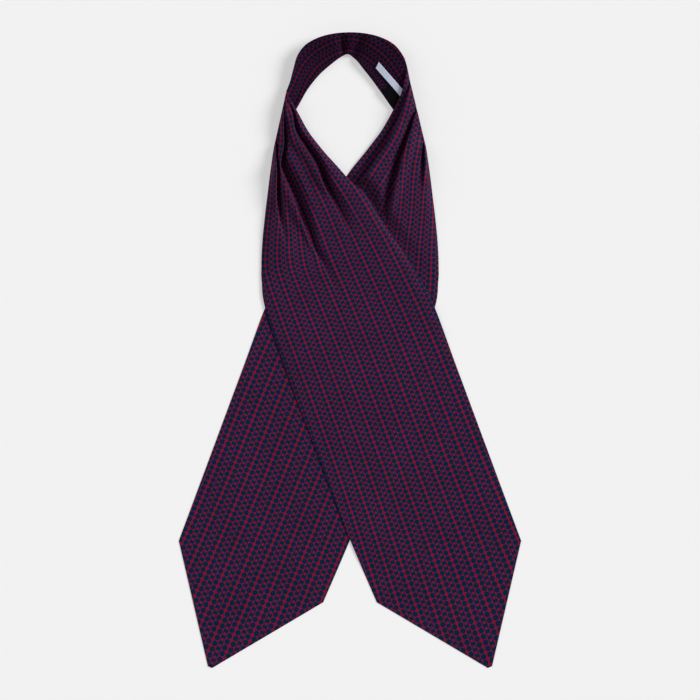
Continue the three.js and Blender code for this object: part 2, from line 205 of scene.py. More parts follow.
underBlade = {
    "side": 1,
    "rows": [
        (51.2, 251.5, 68.6, 181.0, 1.0),
        (49.0, 242.0, 69.1, 178.5, 1.0),
        (45.2, 228.5, 69.4, 176.8, 0.95),
        (38.9, 216.0, 69.9, 173.0, 0.8),
        (28.7, 198.0, 71.2, 164.0, 0.5),
        (20.8, 187.2, 72.3, 156.0, 0.3),
        (12.4, 176.4, 73.4, 147.0, 0.14),
        (3.6, 165.6, 74.6, 137.0, 0.04),
        (-3.5, 156.0, 76.0, 126.0, 0.0),
        *bladeRows,
    ],
    # starts, opens and ends are rows, and places are at every half row. groove is how far the cloth dips
    # beside the edge, slope that dip's run on the inner side, and inside the share of the puff left there
    "pleats": [
        {
            "depth": 5.0, "turned": 180, "opens": 6, "ends": 9.5, "inside": 0.35,
            "places": (
                0.188, 0.179, 0.168, 0.158, 0.152, 0.16, 0.177, 0.19, 0.193, 0.193, 0.19, 0.184, 0.18,
                0.184, 0.185, 0.176, 0.164, 0.16, 0.16, 0.17, 0.18, 0.2,
            ),
            "groove": (0.6, 0.9, 1, 1, 1, 1, 1, 1, 0.9, 0.6, 0.2, 0),
            "slope": (3, 4, 6, 9, 12, 14, 14),
        },
        {
            "depth": 5.0, "turned": 180, "opens": 6.5, "ends": 10.5, "inside": 1,
            "places": (
                0.518, 0.502, 0.481, 0.465, 0.46, 0.473, 0.479, 0.48, 0.487, 0.491, 0.495, 0.506, 0.517,
                0.522, 0.527, 0.53, 0.532, 0.537, 0.543, 0.549, 0.553, 0.55, 0.545, 0.54, 0.53, 0.52,
            ),
            "groove": (0.6, 0.9, 1, 1, 1, 1, 1, 1, 1, 0.9, 0.6, 0.3, 0),
            "slope": (3, 3.5, 4, 5.5, 7.5, 9.5, 11, 12, 12),
        },
        {
            "depth": 1.2, "turned": 130, "starts": 2, "opens": 5, "ends": 7.5, "inside": 1,
            "places": (
                0.88, 0.89, 0.9, 0.9, 0.905, 0.91, 0.91, 0.91, 0.905, 0.9, 0.893, 0.886, 0.878, 0.87,
                0.864, 0.856, 0.849, 0.84, 0.83, 0.82,
            ),
            "groove": (0, 0.45, 0.9, 0.9, 0.55, 0.2, 0),
            "slope": (2.5, 3, 3.5, 4, 5, 6.5, 8),
        },
    ],
    # height of the loose cloth at each row
    "puff": (0, 1.2, 3.8, 5.8, 7.0, 7.4, 7.4, 7.0, 6.2, 5.0, 3.6, 2.4, 1.4, 0.7, 0.2, 0),
    "dents": [],
    "leans": (  # degrees that the columns lean, at the inner edge and before and past the second pleat
        (10, 12, 8), (14, 16, 10), (22, 20, 12), (30, 22, 12), (36, 28, 10), (38, 30, 6), (38, 32, 3),
        (38, 32, 1), (37, 30, 0), (36, 26, 0), (34, 22, 0), (31, 18, 0), (29, 18, 1), (28, 20, 3),
        (26, 22, 12), (24, 22.5, 20), (23, 22.5, 21.5), (24, 23, 22), (25, 23.5, 22),
    ),
    # how much closer the columns lie past the second pleat, and how they fan out across the blade
    "squeeze": (1, 1, 1, 1.05, 1.1, 1.15, 1.2, 1.22, 1.22, 1.2, 1.18, 1.12, 1.05, 1, 1),
    "fan": (0, 0),
    "printSizes": [  # height up the table, repeat across the columns, step from dot to dot along them
        (-290, 15.7, 5.76), (-225, 15.3, 5.58), (-171, 14.8, 5.13), (-117, 14.7, 5.04), (-63, 15.1, 5.08),
        (-18, 14.9, 5.17), (30, 13.0, 4.86), (72, 12.2, 4.5), (110, 12.2, 4.5), (150, 12.4, 4.65),
    ],
    "printStart": {"place": (-78.47, -86.9), "print": (0.0, 0.0)},
}
overBlade = {
    "side": -1,
    "rows": [
        (56.6, 232.0, 68.6, 181.0, 1.0),
        (53.4, 224.5, 69.1, 178.5, 1.0),
        (48.6, 216.9, 69.7, 175.0, 0.9),
        (38.3, 198.0, 71.2, 164.0, 0.6),
        (30.4, 187.2, 72.3, 156.0, 0.4),
        (21.6, 176.4, 73.4, 147.0, 0.2),
        (11.8, 165.6, 74.6, 137.0, 0.07),
        (0.5, 153.0, 76.0, 126.0, 0.0),
        *bladeRows,
    ],
    "pleats": [
        {
            "depth": 4.0, "turned": 180, "opens": 5, "ends": 8.5, "inside": 1,
            "places": (
                0.11, 0.117, 0.124, 0.13, 0.145, 0.225, 0.228, 0.213, 0.213, 0.207, 0.209, 0.224, 0.245,
                0.27, 0.285, 0.3, 0.309, 0.31,
            ),
            "groove": (0.6, 0.9, 1, 1, 1, 1, 1, 1, 0.8, 0.4, 0),
            "slope": (3, 3.5, 4.5, 6, 7, 7.5, 8, 9, 10, 10),
        },
        {
            "depth": 5.0, "turned": 180, "opens": 6, "ends": 11.8, "inside": 1,
            "places": (
                0.27, 0.315, 0.383, 0.451, 0.517, 0.586, 0.702, 0.75, 0.758, 0.742, 0.725, 0.707, 0.69,
                0.676, 0.665, 0.66, 0.656, 0.644, 0.63, 0.619, 0.611, 0.599, 0.587, 0.579, 0.571, 0.56,
                0.55, 0.54, 0.53,
            ),
            "groove": (0.6, 0.9, 1, 1, 1, 1, 1, 1, 1, 1, 0.9, 0.7, 0.3, 0),
            "slope": (3, 3.5, 5, 7, 10, 12, 13, 13, 12, 10, 8, 7, 7),
        },
        {
            "depth": 1.2, "turned": 130, "starts": 2, "opens": 5, "ends": 8.5, "inside": 1,
            "places": (
                0.84, 0.845, 0.855, 0.86, 0.858, 0.854, 0.848, 0.845, 0.844, 0.848, 0.851, 0.857, 0.863,
                0.862, 0.858, 0.855, 0.851, 0.84, 0.83, 0.82, 0.81,
            ),
            "groove": (0, 0.45, 0.9, 1, 1, 1, 1, 0.8, 0.5, 0.2, 0),
            "slope": (2.5, 2.5, 2.5, 2.5, 3, 3.5, 4, 5, 6),
        },
    ],
    "puff": (0, 1.2, 4.0, 6.2, 7.6, 8.2, 8.2, 7.8, 7.2, 6.2, 5.2, 4.2, 3.0, 1.7, 0.7, 0),
    "dents": [  # soft hollow and swell: place, half sizes along its own direction, heading, and height
        {"place": (-29.0, 61.5), "half": (14, 4.0), "heading": 4, "height": -1.4},
        {"place": (-57.0, 90.0), "half": (7, 13), "heading": -6, "height": 1.2},
    ],
    "leans": (
        (12, 6, 0), (16, 10, 0), (24, 14, -4), (36, 18, -6), (38, 20, -6), (38, 22, -4), (37, 23, -3),
        (36, 24, -5), (33, 24, -6), (31, 24, -6), (30, 24, -3), (28, 24, 6), (27, 24, 20), (25, 22.5, 21.5),
        (23.5, 21.5, 20.5), (23, 21.5, 19.5), (24, 21.5, 18.5), (24, 21, 18),
    ),
    "squeeze": (1, 1, 1.05, 1.1, 1.15, 1.2, 1.2, 1.2, 1.2, 1.2, 1.18, 1.12, 1.05, 1, 1),
    "fan": (0, 0, 0, 0, 0, 0, 0, 0, 0, 0, 0, 0.02, 0.05, 0.08, 0.085, 0.085),
    "printSizes": [
        (-290, 15.8, 5.67), (-235, 15.6, 5.62), (-190, 14.9, 5.27), (-144, 14.2, 4.8), (-90, 13.8, 4.95),
        (-36, 13.6, 4.86), (18, 13.4, 4.6), (45, 13.0, 4.6), (72, 12.6, 4.4), (105, 12.2, 4.4),
        (150, 12.0, 4.7),
    ],
    "printStart": {"place": (55.65, -88.27), "print": (0.625, 0.0)},
    "ride": {  # height that it rides at on the under blade, with room for its pleats
        "firstRow": 6, "step": 0.5, "margin": 8, "slope": 16,
        "pleatRoom": 3.2, "pleatPlace": (16, 140), "pleatReach": 30,
    },
}
puffForm = {
    "innerEdge": (0.55, 3.0), "outerEdge": (0.85, 5.0),  # share that the puff loses at an edge, and its reach
    "clear": (0.5, 14.0),  # the under blade lies flat up to here from the over blade, and rises over this run
    "grooveShift": 1.1, "outerSlope": 1.7,  # groove's place beside a pleat's edge, and its run outwards
    "dip": (0.75, 0.9),  # most that the fold's height gives way to the puff
}


# plan of a strip in its own side's sense, narrowing to the tip past its last row
def stripPlan(strip, at, share):
    rows = np.array(strip["rows"], float)
    narrowing = max(at - len(rows) + 1, 0) * (1 - bladeTip["bluntness"])
    innerX, innerY, outerX, outerY = (along(rows[:, n], at) for n in range(4))
    x = mix(mix(innerX, outerX, share), bladeTip["x"], narrowing)
    y = mix(mix(innerY, outerY, share), bladeTip["y"], narrowing)
    return x, y


def outlineOf(strip, ride):
    count = round((len(strip["rows"]) - ride["firstRow"]) / ride["step"]) + 1
    stations = ride["firstRow"] + ride["step"] * np.arange(count)
    inner = [stripPlan(strip, at, 0) for at in stations]
    outer = [stripPlan(strip, at, 1) for at in stations]
    return np.array(inner + outer[::-1]) * (strip["side"], 1)


# distance of each point outside a closed outline, 0 inside it
def distanceOutside(outline, x, y):
    nearest = np.full(x.shape, np.inf)
    inside = np.zeros(x.shape, bool)
    for a, b in zip(outline, np.roll(outline, -1, axis=0)):
        run = b - a
        foot = np.clip(((x - a[0]) * run[0] + (y - a[1]) * run[1]) / (run @ run), 0, 1)
        nearest = np.minimum(nearest, np.hypot(x - a[0] - foot * run[0], y - a[1] - foot * run[1]))
        if run[1] != 0:
            spans = (a[1] > y) != (b[1] > y)
            inside ^= spans & (x < a[0] + (y - a[1]) / run[1] * run[0])
    return np.where(inside, 0, nearest)


underOutline = outlineOf(underBlade, overBlade["ride"])
overOutline = outlineOf(overBlade, overBlade["ride"])


# height of the under blade and its pleats under the over blade
def rideHeight(strip, x, y):
    ride = strip.get("ride")
    if ride is None:
        return np.zeros_like(x)
    off = distanceOutside(underOutline, x, y)
    near = np.hypot(x - ride["pleatPlace"][0], y - ride["pleatPlace"][1]) / ride["pleatReach"]
    full = silkWall["thickness"] + silkWall["seam"] + ride["pleatRoom"] * np.exp(-near * near)
    return full * (1 - smooth((off - ride["margin"]) / ride["slope"]))


def pleatPlace(pleat, at):
    return along(pleat["places"], at * 2)


# 1 where a pleat lies shut, down to 0 where it has opened flat
def pleatShut(pleat, at):
    shut = float(smooth((pleat["ends"] - at) / (pleat["ends"] - pleat["opens"])))
    if "starts" in pleat:
        shut = shut * float(smooth(at / pleat["starts"]))
    return shut


# height that the loose cloth stands up between the grooves beside its pleats
def puffHeight(strip, at, share, x, y):
    full = max(float(along(strip["puff"], at)), 0)
    width = np.hypot(*(np.array(stripPlan(strip, at, 1.0)) - np.array(stripPlan(strip, at, 0.0))))
    q = share * width
    shape = 1
    for (drop, reach), inwards in ((puffForm["innerEdge"], q), (puffForm["outerEdge"], width - q)):
        shape = shape * (1 - drop * np.exp(-np.maximum(inwards, 0) / reach))
    for pleat in strip["pleats"]:
        deep = float(np.clip(along(pleat["groove"], at), 0, 1))
        off = q - pleatPlace(pleat, at) * width + puffForm["grooveShift"]
        run = np.where(off < 0, along(pleat["slope"], at), puffForm["outerSlope"])
        kept = mix(1, pleat["inside"], deep * smooth(-off / puffForm["outerSlope"]))
        shape = shape * (1 - deep * (1 - smooth(np.abs(off) / run))) * kept
    height = full * shape
    for dent in strip["dents"]:
        turn = math.radians(dent["heading"])
        offX = x - dent["place"][0]
        offY = y - dent["place"][1]
        a = (offX * math.cos(turn) + offY * math.sin(turn)) / dent["half"][0]
        b = (offY * math.cos(turn) - offX * math.sin(turn)) / dent["half"][1]
        height = height + dent["height"] * np.exp(-a * a - b * b)
    if "ride" not in strip:
        near, far = puffForm["clear"]
        height = height * smooth((distanceOutside(overOutline, x, y) - near) / far)
    return np.maximum(height, 0)


# point of a strip at a height over its lowest layer, whose layers stack outwards at the side fold
def layerPoint(strip, at, share, height, top):
    x, y = stripPlan(strip, at, share)
    x = x * strip["side"]
    puff = puffHeight(strip, at, share, x, y)
    edgeTop = mix(*sideFold["top"], share)
    if at < 1:
        lift = mix(mix(*sideFold["start"], share), edgeTop, math.sqrt(1 - (1 - at) ** 2))
    else:
        lift = edgeTop * along(np.array(strip["rows"])[:, 4], at)
    easing = sideFold["easing"]
    upright = max(1 - at, 0) * (1 - smooth((share - easing) / (1 - easing)))
    lift = np.maximum(lift, 0)
    given, held = puffForm["dip"]
    lift = lift - np.minimum(lift * given, held * max(float(along(strip["puff"], at)), 0))
    z = silkWall["thickness"] / 2 + lift + rideHeight(strip, x, y)
    outwards = upright * (height - sideFold["sink"] * top)
    x = x + outwards * strip["side"] * sideFold["outwards"][0]
    y = y + outwards * sideFold["outwards"][1]
    return np.stack([x, y, z + puff + height * np.sqrt(1 - upright ** 2)], axis=-1)


# lines of a pleat: round its hidden lower turn, back under the panel, and round its edge
def pleatLines(place, depth, radius, turned, shut):
    lower = place + radius * (shut - 2 * math.sin(turned)) - depth * math.cos(turned)
    upper = place + radius * shut
    angles = np.linspace(0, turned, pleatForm["arcLines"])
    belowQ = lower + radius * np.sin(angles)
    belowH = radius * (1 - np.cos(angles))
    middle = belowH[-1] + depth * math.sin(turned) - radius * math.cos(turned)
    aboveQ = (upper - radius * np.sin(angles))[::-1]
    aboveH = (middle + radius * np.cos(angles))[::-1]
    between = np.linspace(0, 1, pleatForm["straightLines"] + 2)[1:-1]
    q = np.concatenate([belowQ, mix(belowQ[-1], aboveQ[0], between), aboveQ])
    h = np.concatenate([belowH, mix(belowH[-1], aboveH[0], between), aboveH])
    angle = np.concatenate([angles, np.full(len(between), turned), angles[::-1]])
    return q, h, angle, lower + radius, upper


# profile across a strip: place across, height over the lowest layer, direction, and the top layer's height
def pleatedProfile(strip, at, width):
    parts = []
    panels = [(0.0, np.zeros_like)]
    slopeRun = pleatForm["slopeRun"]

    def layPanel(heightAt, start, end, count):
        q = np.linspace(start, end, count)
        slope = (heightAt(q + slopeRun / 2) - heightAt(q - slopeRun / 2)) / slopeRun
        parts.append((q, heightAt(q), np.arctan(slope), np.full(count, -1)))

    start = 0.0
    for n, pleat in enumerate(strip["pleats"]):
        below = panels[-1][1]
        place = pleatPlace(pleat, at) * width
        shut = pleatShut(pleat, at)
        turned = math.radians(pleat["turned"]) * shut
        opened = 1 - turned / math.pi
        run = min(pleatForm["spread"], width * pleatForm["spreadOfWidth"]) * opened ** 2
        depth = mix(pleatForm["lastDepth"], pleat["depth"], float(smooth(1 - at / pleat["opens"]))) * shut
        radius = pleatForm["turn"] * (1 + opened)
        q, h, angle, hiddenEnd, edge = pleatLines(place, depth, radius, turned, shut)
        q = q + np.linspace(-0.5, 0.5, len(q)) * run
        count = pleatForm["panelLines"][n]
        layPanel(below, start, q[0] - (q[0] - start) / count, count)
        parts.append((q, h + below(q), angle * (1 - opened ** 2), np.full(len(q), n)))
        rise = h[-1]
        flatEnd = mix(edge, max(hiddenEnd, edge) + silkWall["thickness"], shut)
        top = float(rise + below(np.array(flatEnd)))
        least = pleatForm["leastLanding"]
        farthest = max(width - least, flatEnd + 2 * least)
        down = min(max(flatEnd + pleatForm["landing"] * top, flatEnd + least), farthest)

        def heightAt(q, rise=rise, below=below, flatEnd=flatEnd, top=top, down=down):
            landed = smooth((q - flatEnd) / (down - flatEnd))
            return np.where(q < flatEnd, rise + below(q), top * (1 - landed))

        panels.append((place, heightAt))
        count = pleatForm["panelLines"][n + 1]
        start = q[-1] + pleatForm["firstStep"] * (width - q[-1]) / count
    layPanel(panels[-1][1], start, width, pleatForm["panelLines"][-1])
    q, h, angle, pleatOf = (np.concatenate(values) for values in zip(*parts))
    angle[-1] = 0
    topHeight = np.zeros_like(q)
    for place, heightAt in panels:
        over = smooth((q - place + pleatForm["tuck"]) / pleatForm["tuck"])
        topHeight = mix(topHeight, heightAt(np.maximum(q, place)), over)
    return q, h, angle, topHeight, pleatOf


# row numbers of a strip's sections: close at the fold, and closer again along the blade
def stripStations(strip):
    last = len(strip["rows"]) - 1
    neckEnd = last - stationSteps["bladeFrom"]
    fold = 1 - np.cos(np.linspace(0, math.pi / 2, stationSteps["fold"]))
    neck = np.linspace(1, neckEnd, int((neckEnd - 1) / stationSteps["neck"]))[1:]
    blade = np.linspace(neckEnd, last, int((last - neckEnd) / stationSteps["blade"]))[1:]
    tip = last + np.linspace(0, 1, stationSteps["tip"])[1:]
    return np.concatenate([fold, neck, blade, tip])


# lean of the print's columns over a strip, across the front panels and past the second pleat, and how close
# the columns lie
def printLeans(strip, at, share):
    rows = np.array(strip["leans"], float)
    inner, before, after = (along(rows[:, n], at) for n in range(3))
    divide = pleatPlace(strip["pleats"][1], at)
    front = mix(inner, before, np.clip(share / divide, 0, 1))
    early, run = printScale["divide"]
    past = smooth((share - divide + early) / run)
    close = 1 + (along(strip["squeeze"], at) - 1) * past
    fanned = 1 - along(strip["fan"], at) * (1 - 2 * share)
    return np.radians(mix(front, after, past)), close * fanned


# print coordinates whose steps between neighbours come nearest to the wanted ones, by conjugate gradients
def settlePrint(acrossStep, alongStep, acrossHold, alongHold):
    def spread(acrossPull, alongPull):
        total = np.zeros(acrossPull.shape[:1] + acrossHold.shape[:1] + alongHold.shape[1:])
        total[:, :, 1:] += acrossPull
        total[:, :, :-1] -= acrossPull
        total[:, 1:] += alongPull
        total[:, :-1] -= alongPull
        return total

    def pull(values):
        return spread(acrossHold * np.diff(values, axis=2), alongHold * np.diff(values, axis=1))

    ease = np.zeros(acrossHold.shape[:1] + alongHold.shape[1:])
    ease[:, 1:] += acrossHold
    ease[:, :-1] += acrossHold
    ease[1:] += alongHold
    ease[:-1] += alongHold
    left = spread(acrossHold * acrossStep, alongHold * alongStep)
    values = np.zeros_like(left)
    first = left / ease
    move = first
    size = np.sum(left * first, axis=(1, 2), keepdims=True)
    goal = size * printScale["goal"]
    for _ in range(printScale["rounds"]):
        pulled = pull(move)
        share = size / np.sum(move * pulled, axis=(1, 2), keepdims=True)
        values = values + share * move
        left = left - share * pulled
        first = left / ease
        grown = np.sum(left * first, axis=(1, 2), keepdims=True)
        if np.all(grown < goal):
            break
        move = first + grown / size * move
        size = grown
    return values


# weights of the steps across and along, by the shape of each cell
def printHolds(acrossLength, alongLength, leastAlong):
    least, most = printScale["holds"]
    cellAlong = np.concatenate([alongLength, alongLength[-1:]])
    cellAcross = np.concatenate([acrossLength, acrossLength[:, -1:]], axis=1)
    acrossHold = np.clip(cellAlong[:, 1:] / acrossLength, least, most)
    return acrossHold, np.clip(cellAcross[1:] / alongLength, leastAlong, most)


# how much longer a step is on the cloth than in plan
def steepGrowth(length, planLength):
    return np.clip(length / np.maximum(planLength, printScale["leastStep"]), 1, printScale["mostGrowth"])


# print on a strip's face: columns follow their leans, rows lie square to them, shut pleats hide the rest
def stripPrint(strip, face, lean, squeeze, shut):
    x = face[..., 0] * strip["side"]
    y = face[..., 1]

    def steps(axis):
        run = np.diff(face, axis=axis)
        planX = np.diff(x, axis=axis)
        planY = np.diff(y, axis=axis)
        length = np.maximum(np.linalg.norm(run, axis=2), printScale["leastStep"])
        grow = steepGrowth(length, np.hypot(planX, planY))
        first = np.take(lean, range(lean.shape[axis] - 1), axis=axis)
        turn = first + np.diff(lean, axis=axis) / 2
        repeat, rowStep = printSizes(strip, np.take(y, range(y.shape[axis] - 1), axis=axis))
        close = np.take(squeeze, range(squeeze.shape[axis] - 1), axis=axis)
        u = grow * (planX * np.cos(turn) - planY * np.sin(turn)) / repeat * close
        v = -grow * (planX * np.sin(turn) + planY * np.cos(turn)) / rowStep
        return np.stack([u, v]), length

    acrossStep, acrossLength = steps(1)
    alongStep, alongLength = steps(0)
    acrossHold, alongHold = printHolds(acrossLength, alongLength, printScale["leastAlong"])
    loose = mix(1, printScale["hiddenHold"], np.maximum(shut[:, 1:], shut[:, :-1]))
    values = settlePrint(acrossStep, alongStep, acrossHold * loose, alongHold)
    start = strip["printStart"]
    far = np.hypot(face[..., 0] - start["place"][0], y - start["place"][1])
    row, column = np.unravel_index(np.argmin(far), far.shape)
    turn = lean[row, column]
    offX = (start["place"][0] - face[row, column, 0]) * strip["side"]
    offY = start["place"][1] - y[row, column]
    repeat, rowStep = printSizes(strip, y[row, column])
    u = (offX * math.cos(turn) - offY * math.sin(turn)) / repeat
    v = -(offX * math.sin(turn) + offY * math.cos(turn)) / rowStep
    uMap = values[0] - values[0, row, column] - u + start["print"][0]
    vMap = values[1] - values[1, row, column] - v + start["print"][1]
    across = np.concatenate([np.zeros((len(face), 1)), np.cumsum(acrossLength, axis=1)], axis=1)
    return uMap, vMap, across / across[:, -1:]


# values on a face, carried on over the points of its two rims
def padEnds(values, count):
    return np.concatenate([values[:, :1].repeat(count, 1), values, values[:, -1:].repeat(count, 1)], axis=1)


def makeStrip(name, strip):
    stations = stripStations(strip)
    halfWall = silkWall["thickness"] / 2
    rim = silkWall["rimPoints"] // 2
    widths = []
    rows = []
    faces = []
    leans = []
    squeezes = []
    shuts = []
    centres = []
    turns = (np.arange(rim) + 0.5) / rim * math.pi / 2
    for at in stations:
        inner = np.array(stripPlan(strip, at, 0.0))
        outer = np.array(stripPlan(strip, at, 1.0))
        width = np.linalg.norm(outer - inner)
        q, h, angle, top, pleatOf = pleatedProfile(strip, at, width)
        edge = min(halfWall / width, silkWall["mostRim"])

        def place(by):
            share = np.clip((q - by * np.sin(angle)) / width, 0, 1)
            return layerPoint(strip, at, edge + share * (1 - 2 * edge), h + by * np.cos(angle), top)

        def rimPoints(end, sign):
            angles = turns if sign < 0 else turns[::-1]
            out = edge * (1 - np.sin(angles))
            share = out if end == 0 else 1 - out
            lift = sign * halfWall * np.cos(angles)
            return layerPoint(strip, at, share, h[end] + lift, np.full(rim, top[end]))

        face = place(halfWall)
        back = place(-halfWall)
        rows.append(np.concatenate([
            rimPoints(0, 1), face, rimPoints(-1, 1)[::-1],
            rimPoints(-1, -1)[::-1], back[::-1], rimPoints(0, -1),
        ]))
        faces.append(face)
        lean, squeeze = printLeans(strip, at, q / width)
        leans.append(lean)
        squeezes.append(squeeze)
        shut = np.zeros(len(q))
        for n, pleat in enumerate(strip["pleats"]):
            shut[pleatOf == n] = pleatShut(pleat, at)
        shuts.append(shut)
        widths.append(width)
        centres.append((inner + outer) / 2)
    points = np.array(rows)
    printed = stripPrint(strip, *(np.array(values) for values in (faces, leans, squeezes, shuts)))
    uMap, vMap, across = (padEnds(values, rim) for values in printed)
    steps = np.linalg.norm(np.diff(np.array(centres), axis=0), axis=1)
    length = np.concatenate([[0], np.cumsum(steps)])
    spacing = silkWall["rimSpacing"]
    across = across * (1 - spacing) + np.linspace(0, spacing, across.shape[1])
    layout = bakeLayout(across, length, points.shape[1], silkWall["bakeCuts"], silkWall["bakeFace"])
    piece = wallMesh(name, points, foldedMap(uMap, vMap), layout, strip["side"] < 0)
    area = float(np.sum(steps * (np.array(widths)[1:] + np.array(widths)[:-1]) / 2))
    print(name, "length", round(length[-1]), "mm, area", round(area), "mm2")
    return piece


# Neckband: outer x and y, inner x and y, lift of the outer edge, rise of the loose part inside it
neckband = {
    "wall": 2.0,
    "flat": 0.2,  # share of the width that rests flat
    "curl": 1.4,  # how fast the upturn of the outer edge dies away
    "loose": (3, 0.5),  # how fast the rise comes on from the outer edge, and what it loses at the inner one
    "step": 0.1, "lines": 34,  # rows from section to section, and lines across
    "repeat": 11.5, "printStart": (0.2, 0.0),
    "bakeCuts": 2, "bakeFace": 0.6,
    "creases": ((6.52, 0.28), (7.74, 0.34)),  # row number and half width of both creases at the centre back
    "creaseCut": 0.8,  # share that they take off the rise
    "endHeight": (7.5, 2.3),  # straight ends meet the side folds, at the outer and the inner edge
    "endReach": 1.6,  # rows over which they do
    "rows": [
        (-57.0, 233.0, -68.6, 181.6, 5.5, 0),
        (-53.8, 241.5, -58.0, 199.5, 6.5, 0),
        (-51.0, 252.0, -46.5, 219.6, 8.0, 0.6),
        (-47.4, 264.0, -38.3, 234.0, 9.0, 1.2),
        (-40.3, 273.6, -28.0, 247.0, 10.0, 2.0),
        (-29.5, 279.9, -18.4, 255.6, 11.0, 4.0),
        (-16.0, 283.7, -9.5, 262.4, 11.5, 6.4),
        (0.0, 285.0, -2.3, 265.8, 12.0, 7.0),
        (16.0, 283.7, 4.5, 261.6, 11.5, 6.8),
        (29.5, 279.9, 12.0, 252.6, 11.0, 5.4),
        (40.3, 273.6, 19.0, 243.8, 10.0, 4.0),
        (47.8, 264.0, 28.0, 231.5, 9.0, 3.0),
        (50.9, 256.0, 44.0, 209.5, 7.0, 1.0),
        (54.2, 240.0, 68.6, 181.6, 5.0, 0),
    ],
}


def bandPoint(at, share):
    rows = np.array(neckband["rows"], float)
    outerX, outerY, innerX, innerY, lift, rise = (along(rows[:, n], at) for n in range(6))
    upturn = np.maximum(1 - share / (1 - neckband["flat"]), 0) ** neckband["curl"]
    crease = sum(np.exp(-((at - row) / half) ** 2) for row, half in neckband["creases"])
    power, lost = neckband["loose"]
    loose = (1 - (1 - share) ** power) * (1 - lost * share * share)
    rise = np.maximum(rise, 0) * (1 - neckband["creaseCut"] * crease)
    z = neckband["wall"] / 2 + lift * upturn + rise * loose
    toEnd = np.minimum(at, len(rows) - 1 - at) / neckband["endReach"]
    z = mix(mix(*neckband["endHeight"], share), z, smooth(toEnd))
    return np.stack([mix(outerX, innerX, share), mix(outerY, innerY, share), z], axis=-1)


def makeNeckband():
    halfWall = neckband["wall"] / 2
    up = np.array([0, 0, 1.0])
    rim = silkWall["rimPoints"] // 2
    turns = (np.arange(rim) + 0.5) / rim * math.pi / 2
    last = len(neckband["rows"]) - 1
    stations = np.linspace(0, last, int(last / neckband["step"]) + 1)
    rows = []
    for at in stations:
        ends = bandPoint(at, np.array([0.0, 1.0]))
        edge = halfWall / np.linalg.norm(ends[1] - ends[0])
        share = np.linspace(edge, 1 - edge, neckband["lines"])
        first = edge * (1 - np.sin(turns))
        lift = (halfWall * np.cos(turns))[:, None] * up
        topFirst = bandPoint(at, first) + lift
        lowFirst = bandPoint(at, first) - lift
        topLast = bandPoint(at, 1 - first) + lift
        lowLast = bandPoint(at, 1 - first) - lift
        face = bandPoint(at, share) + halfWall * up
        back = bandPoint(at, share) - halfWall * up
        rows.append(np.concatenate([topFirst[::-1], face, topLast, lowLast[::-1], back[::-1], lowFirst]))
    points = np.array(rows)
    loop = points.shape[1]
    face = points[:, :loop // 2]
    stepsAcross = np.linalg.norm(np.diff(face, axis=1), axis=2)
    arc = np.concatenate([np.zeros((len(rows), 1)), np.cumsum(stepsAcross, axis=1)], axis=1)
    centre = bandPoint(stations, np.full(len(stations), 0.5))
    length = np.concatenate([[0], np.cumsum(np.linalg.norm(np.diff(centre, axis=0), axis=1))])
    heading = np.gradient(centre[:, :2], axis=0)
    heading = heading / np.linalg.norm(heading, axis=1, keepdims=True)
    size = neckband["repeat"]

    def wanted(run, heading):
        alongRun = run[..., 0] * heading[..., 0] + run[..., 1] * heading[..., 1]
        acrossRun = run[..., 0] * heading[..., 1] - run[..., 1] * heading[..., 0]
        length = np.linalg.norm(run, axis=2)
        grow = steepGrowth(length, np.hypot(alongRun, acrossRun)) / size
        return np.stack([acrossRun * grow, alongRun * grow * printScale["rowsForOne"]]), length

    acrossStep, acrossLength = wanted(np.diff(face, axis=1), heading[:, None])
    alongStep, alongLength = wanted(np.diff(face, axis=0), heading[:-1, None])
    holds = printHolds(acrossLength, alongLength, printScale["holds"][0])
    uMap, vMap = settlePrint(acrossStep, alongStep, *holds)
    uMap = uMap + neckband["printStart"][0]
    vMap = vMap + neckband["printStart"][1]
    layout = bakeLayout(arc / arc[:, -1:], length, loop, neckband["bakeCuts"], neckband["bakeFace"])
    piece = wallMesh("neckband_silk", points, foldedMap(uMap, vMap), layout, True)
    area = float(np.sum(np.diff(length) * (arc[1:, -1] + arc[:-1, -1]) / 2))
    print("neckband length", round(length[-1]), "mm, area", round(area), "mm2")
    return piece


# Labels on the inside of the neckband: middle of the near end, heading in degrees, and size
makerLabel = {
    "x": 24.4, "y": 255.9, "heading": -48.6, "width": 5.7, "length": 37.0, "skew": -2.2, "lines": (60, 14),
}
careLabel = {
    "x": 32.0, "y": 235.4, "heading": -54.6, "width": 9.4, "length": 19.0, "skew": 0.0, "lines": (34, 18),
}
labelWall = {
    "thickness": 1.0, "bakeCuts": 1, "bakeFace": 0.6,
    "leastRow": 8, "guess": (11.0, 0.6), "rounds": 12, "step": 0.01,  # search for its place on the neckband
}


# row number and share of the neckband under points in plan, by Newton's steps
def underPoint(x, y):
    step = labelWall["step"]
    at = np.full(x.shape, labelWall["guess"][0])
    share = np.full(x.shape, labelWall["guess"][1])
    last = len(neckband["rows"]) - 1
    for _ in range(labelWall["rounds"]):
        here = bandPoint(at, share)
        a = (bandPoint(at + step, share) - here) / step
        b = (bandPoint(at, share + step) - here) / step
        det = a[..., 0] * b[..., 1] - a[..., 1] * b[..., 0]
        offX = x - here[..., 0]
        offY = y - here[..., 1]
        at = np.clip(at + (offX * b[..., 1] - offY * b[..., 0]) / det, labelWall["leastRow"], last)
        share = np.clip(share + (a[..., 0] * offY - a[..., 1] * offX) / det, 0, 1)
    return at, share


